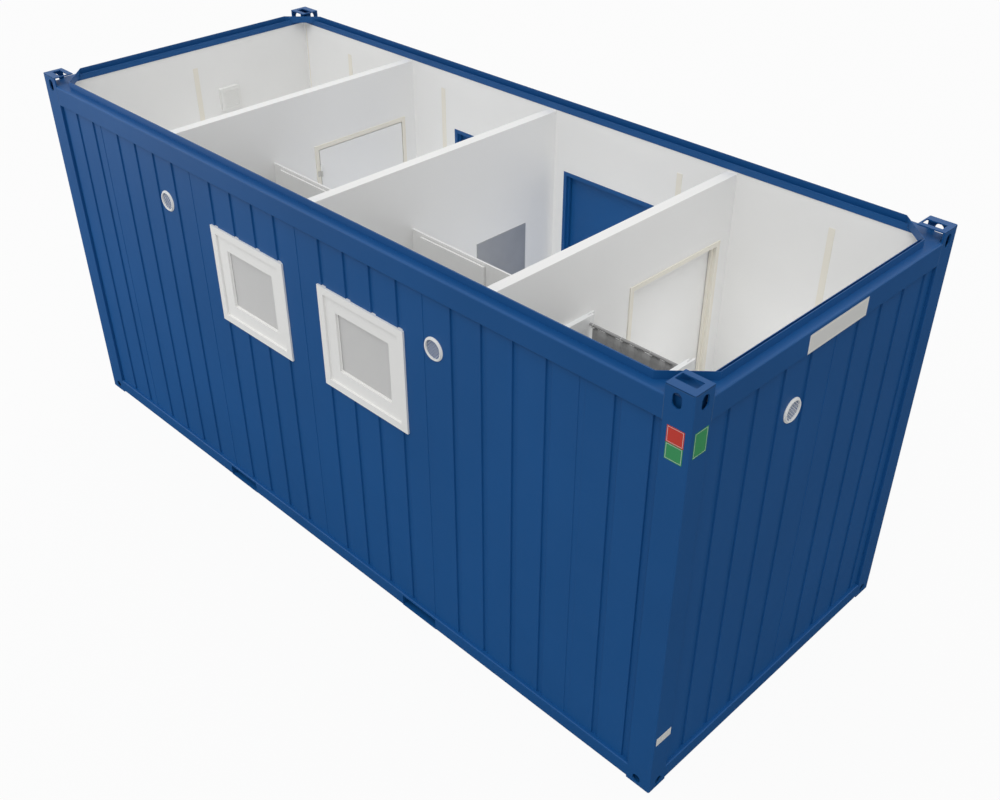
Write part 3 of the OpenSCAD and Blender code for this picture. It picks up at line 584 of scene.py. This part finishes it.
def curtain_clip(x):
    """White clip: a band round the rail with a jaw that grips the cloth's top."""
    start_clean()
    bpy.ops.mesh.primitive_torus_add(
        major_segments=28, minor_segments=8, major_radius=0.0103, minor_radius=0.0012,
        location=(x * MM, CURTAIN_Y * MM, CURTAIN_RAIL_Z * MM), rotation=(0, math.radians(90), 0))
    band = settle(bpy.context.object, "band")
    bpy.ops.object.shade_smooth()
    half_w = 14
    half_t = 7
    foot = 2182
    top = 2190.5
    jaw = block("jaw", (x - half_w, CURTAIN_Y - half_t, foot), (x + half_w, CURTAIN_Y + half_t, top))
    pick_faces(jaw, lambda normal: normal.z < -0.9)
    bpy.ops.transform.resize(value=(0.8, 0.7, 1))
    done(jaw)
    return join("clip", [band, ease(jaw, 1.2)])


def curtain():
    cloth = finishes["curtain_cloth"]
    columns = 234
    hem_h = 40
    sheet = hang("shower_curtain", CURTAIN_TOP, CURTAIN_FOOT, columns, 36, 0.6)
    dress(sheet, cloth)
    hem = hang("curtain_hem", CURTAIN_FOOT + hem_h, CURTAIN_FOOT - 0.5, columns, 2, 2.0)
    dress(hem, cloth)
    clips = [curtain_clip(CLIP_FIRST_X + count * CLIP_PITCH) for count in range(CLIPS)]
    clips = dress(join("curtain_clips", clips), white_moulding)
    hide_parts("curtain")


curtain()


# Doors: lock barrels and the screws of the handle plates

def screw_head(radius):
    """A flat head with a socket, facing along -y."""
    head = rod("screw", (0, 0, 0), (0, -1.8, 0), radius, 12)
    pick_faces(head, lambda normal: normal.y < -0.9)
    bpy.ops.mesh.inset(thickness=radius * 0.25 * MM)
    bpy.ops.transform.translate(value=(0, -0.4 * MM, 0))
    bpy.ops.mesh.inset(thickness=radius * 0.3 * MM)
    bpy.ops.mesh.extrude_region_move(TRANSFORM_OT_translate={"value": (0, 1.0 * MM, 0)})
    return done(head)


def lock_barrel():
    """Round lock cylinder with a keyway, facing along -y."""
    barrel = rod("barrel", (0, 0, 0), (0, -3, 0), 9, 32)
    pick_faces(barrel, lambda normal: normal.y < -0.9)
    bpy.ops.mesh.inset(thickness=1.6 * MM)
    bpy.ops.mesh.extrude_region_move(TRANSFORM_OT_translate={"value": (0, 0.8 * MM, 0)})
    done(barrel)
    ease(barrel, 0.5)
    key = block("keyway", (-1.1, -2.9, -4), (1.1, -2.1, 4))
    ease(key, 0.2, 1)
    return join("barrel", [barrel, key])


def lock_plate(x, y, turn):
    """Two screws and a barrel on a handle plate whose face stands at a place and turn."""
    screw_off = 88
    barrel_drop = 58
    parts = []
    for z in (-screw_off, screw_off):
        parts.append(copy_of(screw, "lock", (x, y, HANDLE_Z + z), turn))
    parts.append(copy_of(barrel, "lock", (x, y, HANDLE_Z - barrel_drop), turn))
    return parts


screw = screw_head(4.2)
barrel = lock_barrel()
PLATE_T = 5
door_faces = {
    "entrance_door_left": ((-228.5, 1202.5, 180), (-228.5, 1165.5 - PLATE_T, 0)),
    "entrance_door_right": ((228.5, 1202.5, 180), (228.5, 1165.5 - PLATE_T, 0)),
    "passage_door_left": ((-1510.5 + PLATE_T, 907, 90), (-1550.5 - PLATE_T, 907, -90)),
    "passage_door_right": ((1519.5 - PLATE_T, 907, -90), (1559.5 + PLATE_T, 907, 90)),
}
for body, faces in door_faces.items():
    parts = []
    for x, y, turn in faces:
        parts += lock_plate(x, y, turn)
    dress(join(body + "_lockset", parts), stainless, body)
for pattern in (screw, barrel):
    bpy.data.objects.remove(pattern)


# Welds and rail edge lines in pale paint as painted highlights, painted shade along the top plates'
# joints, closing sheets of the steel frame, and the trims of the lining

def bead(start, end, radius):
    """A half-buried round bead with eased ends."""
    return ease(rod("bead", start, end, radius, 10), radius * 0.4, 1)


def casting_beads():
    """Weld under each top plate and down the joint between a roof rail and its corner, in pale paint that
    is a painted highlight along these edges.
    """
    plate_z = 2792
    flange = 2735
    sunk = 0.6
    end_gap = 8
    thin = 1.2
    stout = 1.6
    beads = []
    for sx in (-1, 1):
        for sy in (-1, 1):
            x = sx * (HALF_L - sunk)
            y = sy * (HALF_W - sunk)
            beads.append(bead((sx * (HALF_L - end_gap), y, plate_z), (sx * POST_X, y, plate_z), thin))
            beads.append(bead((x, sy * (HALF_W - end_gap), plate_z), (x, sy * POST_Y, plate_z), thin))
            beads.append(bead((sx * POST_X, y, RAIL_LOW), (sx * POST_X, y, flange), stout))
            beads.append(bead((x, sy * POST_Y, RAIL_LOW), (x, sy * POST_Y, flange), stout))
    dress(join("casting_welds", beads), highlight_bead_paint)


def plate_joint_shade():
    """Dark strip just under each casting's top plate, on its two outer faces: painted shade along the
    plate's joint.
    """
    strips = []
    low = 2793.5
    high = 2796
    proud = 0.3
    sunk = 1
    end_gap = 6
    inner_x = POST_X + 1.5
    inner_y = POST_Y + 1.5
    for sx in (-1, 1):
        for sy in (-1, 1):
            x = sx * (HALF_L + proud)
            y = sy * (HALF_W + proud)
            far = (sx * (HALF_L - end_gap), sy * (HALF_W - sunk), high)
            strips.append(block("joint", (sx * inner_x, y, low), far))
            far = (sx * (HALF_L - sunk), sy * (HALF_W - end_gap), high)
            strips.append(block("joint", (x, sy * inner_y, low), far))
    dress(ease(join("plate_joint_shade", strips), 0.2, 1), shadow_gap)


def corner_closers():
    """Blue sheets that close the wall's corner behind the slots of the upper castings."""
    core_x = 2991.5
    core_y = 1181.5
    thick = 2
    gap = 0.5
    inner_x = POST_X + 4.5
    inner_y = POST_Y + 4.5
    low_z = 2600
    high_z = 2730
    sheets = []
    for sx in (-1, 1):
        for sy in (-1, 1):
            x = sx * (core_x + thick)
            y = sy * (core_y + thick)
            low = (sx * inner_x, sy * core_y, low_z)
            sheets.append(ease(block("closer", low, (x, y, high_z)), 0.5, 1))
            low = (sx * core_x, sy * inner_y, low_z)
            sheets.append(ease(block("closer", low, (x, sy * (core_y - gap), high_z)), 0.5, 1))
            low = (sx * inner_x, sy * inner_y, WALL_TOP)
            sheets.append(ease(block("closer", low, (x, y, WALL_TOP + thick)), 0.5, 1))
    dress(join("corner_closers", sheets), blue_frame)


def roof_lip_ends():
    """The roof rails' inner lips, run on under the slanted upstands into the corners of the lining."""
    thick = 4
    low_z = 2709
    lip_top = 2754
    gusset_z = WALL_TOP - 0.3
    # Where the slanted upstand begins, and where its line crosses the lip
    start_x = 2745.5
    cross_x = 2784
    start_y = 949.5
    cross_y = 984
    pieces = []
    for sx in (-1, 1):
        for sy in (-1, 1):
            x = sx * LINING_X
            y = sy * LINING_Y
            inner_x = sx * (LINING_X - thick)
            inner_y = sy * (LINING_Y - thick)
            pieces.append(block("lip", (sx * start_x, inner_y, low_z), (sx * cross_x, y, lip_top)))
            pieces.append(block("lip", (sx * cross_x, inner_y, low_z), (x, y, gusset_z)))
            pieces.append(block("lip", (inner_x, sy * start_y, low_z), (x, sy * cross_y, lip_top)))
            pieces.append(block("lip", (inner_x, sy * cross_y, low_z), (x, inner_y, gusset_z)))
    dress(join("roof_lip_ends", pieces), blue_frame)


def rail_edge_lines():
    """Thin pale bead along the lower edge of each roof rail: a painted highlight of that edge."""
    lines = []
    inset = 6
    radius = 1.6
    z = RAIL_LOW + 0.5
    end_x = POST_X - 2.5
    end_y = POST_Y - 2.5
    for side in (-1, 1):
        y = side * (HALF_W - inset)
        lines.append(bead((-end_x, y, z), (end_x, y, z), radius))
        x = side * (HALF_L - inset)
        lines.append(bead((x, -end_y, z), (x, end_y, z), radius))
    dress(join("rail_edge_lines", lines), highlight_bead_paint)


def corner_trims():
    """White cove in the four upright corners of the lining, each with a narrow cream edge strip."""
    coves = []
    edges = []
    leg = 21
    cove_t = 2
    strip = 7
    strip_t = 3
    top = WALL_TOP - 6
    for sx in (-1, 1):
        for sy in (-1, 1):
            wall = sy * LINING_Y
            low = (sx * LINING_X, sy * (LINING_Y - cove_t), FLOOR_TOP)
            coves.append(ease(block("cove", low, (sx * (LINING_X - leg), wall, top)), 0.6))
            low = (sx * (LINING_X - cove_t), sy * (LINING_Y - cove_t), FLOOR_TOP)
            coves.append(ease(block("cove", low, (sx * LINING_X, sy * (LINING_Y - leg), top)), 0.6))
            low = (sx * (LINING_X - leg), sy * (LINING_Y - strip_t), FLOOR_TOP)
            edges.append(ease(block("edge", low, (sx * (LINING_X - leg - strip), wall, top)), 0.6))
    dress(join("corner_coves", coves), white_board)
    dress(join("corner_trims", edges), cream_paint)


casting_beads()
plate_joint_shade()
corner_closers()
roof_lip_ends()
rail_edge_lines()
corner_trims()


# Floor, light and camera

def seen_rays(tree, kinds):
    """1 for rays of the two kinds, 0 for those that only light the object."""
    path = tree.nodes.new("ShaderNodeLightPath")
    total = tree.nodes.new("ShaderNodeMath")
    total.use_clamp = True
    tree.links.new(path.outputs[kinds[0]], total.inputs[0])
    tree.links.new(path.outputs[kinds[1]], total.inputs[1])
    return total.outputs["Value"]


def studio_floor():
    """A floor that glows white for the camera, with a soft shadow, and is dark in reflections."""
    grey = 0.55
    reflected_grey = 0.06
    glow_share = 0.94
    start_clean()
    bpy.ops.mesh.primitive_plane_add(size=160, location=(0, 0, 0))
    floor = settle(bpy.context.object, "studio_floor")
    finish = Finish("pale studio floor")
    finish.tree.nodes.remove(finish.shader)
    paint = finish.add("ShaderNodeBsdfDiffuse")
    path = finish.add("ShaderNodeLightPath")
    finish.join(finish.spread(path.outputs["Is Glossy Ray"], grey, reflected_grey), paint.inputs["Color"])
    glow = finish.add("ShaderNodeEmission")
    mix = finish.add("ShaderNodeMixShader")
    share = finish.add("ShaderNodeMath", operation="MULTIPLY")
    share.inputs[1].default_value = glow_share
    finish.join(seen_rays(finish.tree, ("Is Camera Ray", "Is Transmission Ray")), share.inputs[0])
    finish.join(share.outputs["Value"], mix.inputs["Fac"])
    finish.join(paint.outputs["BSDF"], mix.inputs[1])
    finish.join(glow.outputs["Emission"], mix.inputs[2])
    finish.join(mix.outputs["Shader"], finish.tree.nodes["Material Output"].inputs["Surface"])
    floor.data.materials.append(finish.material)


def studio_light():
    """A white world, weaker where it only lights the object, and one broad lamp from above."""
    world = bpy.data.worlds.new("studio")
    bpy.context.scene.world = world
    world.use_nodes = True
    tree = world.node_tree
    sky = tree.nodes["Background"]
    sky.inputs["Color"].default_value = (1, 1, 1, 1)
    sky.inputs["Strength"].default_value = 0.69
    backdrop = tree.nodes.new("ShaderNodeBackground")
    backdrop.inputs["Strength"].default_value = 1.0
    backdrop.inputs["Color"].default_value = (1, 1, 1, 1)
    mix = tree.nodes.new("ShaderNodeMixShader")
    tree.links.new(seen_rays(tree, ("Is Camera Ray", "Is Glossy Ray")), mix.inputs["Fac"])
    tree.links.new(sky.outputs["Background"], mix.inputs[1])
    tree.links.new(backdrop.outputs["Background"], mix.inputs[2])
    tree.links.new(mix.outputs["Shader"], tree.nodes["World Output"].inputs["Surface"])
    start_clean()
    bpy.ops.object.light_add(type="SUN", location=(2.2, -4.6, 8.2))
    lamp = bpy.context.object
    lamp.name = "soft_key"
    lamp.rotation_euler = lamp.location.to_track_quat("Z", "Y").to_euler()
    lamp.data.angle = math.radians(40)
    lamp.data.energy = 0.95


def room_lamps():
    """A soft low fill in the middle of each room."""
    for x, y in ((-2.25, 0.1), (-0.75, 0.5), (0.8, 0.5), (2.25, 0.4)):
        start_clean()
        bpy.ops.object.light_add(type="POINT", location=(x, y, 1.55))
        lamp = bpy.context.object
        lamp.name = "room_fill"
        lamp.data.energy = 7
        lamp.data.shadow_soft_size = 0.35
        lamp.visible_camera = False
        lamp.visible_glossy = False


def left_panel():
    """A soft panel in front of the long wall's far end, which lightens that end."""
    start_clean()
    bpy.ops.object.light_add(type="AREA", location=(-5.5, -5.0, 2.2))
    lamp = bpy.context.object
    lamp.name = "left_panel"
    aim = Vector((-2.4, -1.2, 1.4))
    lamp.rotation_euler = (lamp.location - aim).to_track_quat("Z", "Y").to_euler()
    lamp.data.size = 3.0
    lamp.data.energy = 70
    lamp.visible_camera = False


def photo_camera():
    """The camera solved from the frame's corners in the photo."""
    start_clean()
    bpy.ops.object.camera_add(location=(5.3753, -4.7962, 5.6718))
    camera = bpy.context.object
    camera.name = "photo_camera"
    camera.rotation_euler = (math.radians(90 - 35.066), 0, math.radians(45.063))
    camera.data.sensor_width = 36
    camera.data.lens = 41.361
    camera.data.shift_x = 0.00197
    camera.data.shift_y = 0.00963
    camera.data.clip_end = 300
    bpy.context.scene.camera = camera


studio_floor()
studio_light()
room_lamps()
left_panel()
photo_camera()
bpy.context.scene.view_settings.view_transform = "Standard"
